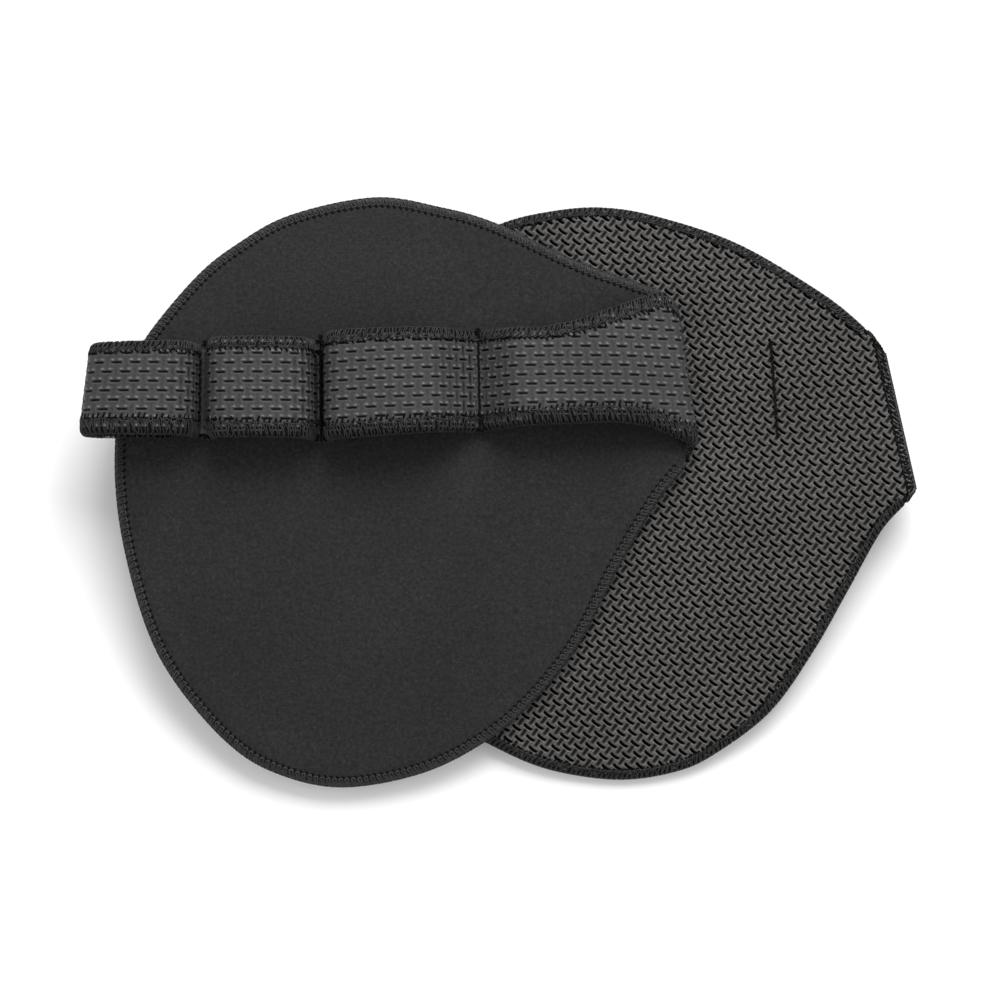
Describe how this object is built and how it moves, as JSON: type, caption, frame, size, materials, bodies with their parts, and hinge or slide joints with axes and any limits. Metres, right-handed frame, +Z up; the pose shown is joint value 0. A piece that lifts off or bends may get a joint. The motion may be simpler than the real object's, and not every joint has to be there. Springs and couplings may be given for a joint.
{
  "type": "neoprene hand grips",
  "caption": "Pair of palm grip pads in foam-cored laminate, each with a folded strap tacked down into finger loops; one lies jersey side up on the other, which lies grip side up.",
  "frame": {"origin": "centre of the footprint of the pair as it lies, on the table", "axes": "+X from the little finger to the fold beside the index finger, +Y towards the fingertips, +Z up"},
  "size_m": [0.2096, 0.148, 0.0322],
  "materials": {
    "jersey": "matte charcoal knit",
    "foam": "black closed-cell foam",
    "grip_rubber": "embossed, satin dark grey",
    "thread": "black polyester sewing thread"
  },
  "bodies": {
    "rear_grip": {"rear_pad_jersey": "jersey", "rear_pad_foam": "foam", "rear_pad_rubber": "grip_rubber", "rear_pad_overlock": "thread", "rear_strap_jersey": "jersey", "rear_strap_foam": "foam", "rear_strap_rubber": "grip_rubber", "rear_strap_overlock": "thread", "rear_tack_index": "thread", "rear_tack_middle": "thread", "rear_tack_ring": "thread", "rear_tack_end": "thread", "rear_fold_seam": "thread"},
    "front_grip": {"front_pad_jersey": "jersey", "front_pad_foam": "foam", "front_pad_rubber": "grip_rubber", "front_pad_overlock": "thread", "front_strap_jersey": "jersey", "front_strap_foam": "foam", "front_strap_rubber": "grip_rubber", "front_strap_overlock": "thread", "front_tack_index": "thread", "front_tack_middle": "thread", "front_tack_ring": "thread", "front_tack_end": "thread", "front_fold_seam": "thread"},
    "front_heel": {"front_heel_jersey": "jersey", "front_heel_foam": "foam", "front_heel_rubber": "grip_rubber", "front_heel_overlock": "thread"}
  },
  "joints": [
    {"name": "front_grip_lift", "type": "slide", "parent": "rear_grip", "child": "front_grip", "axis": [0, 0, 1], "range_m": [0, 0.06]},
    {"name": "front_heel_flex", "type": "hinge", "parent": "front_grip", "child": "front_heel", "pos_m": [0, 0.002, 0.0176], "axis": [-1, 0, 0], "range_deg": [0, 70], "stiffness_Nm_per_rad": 0.02}
  ]
}
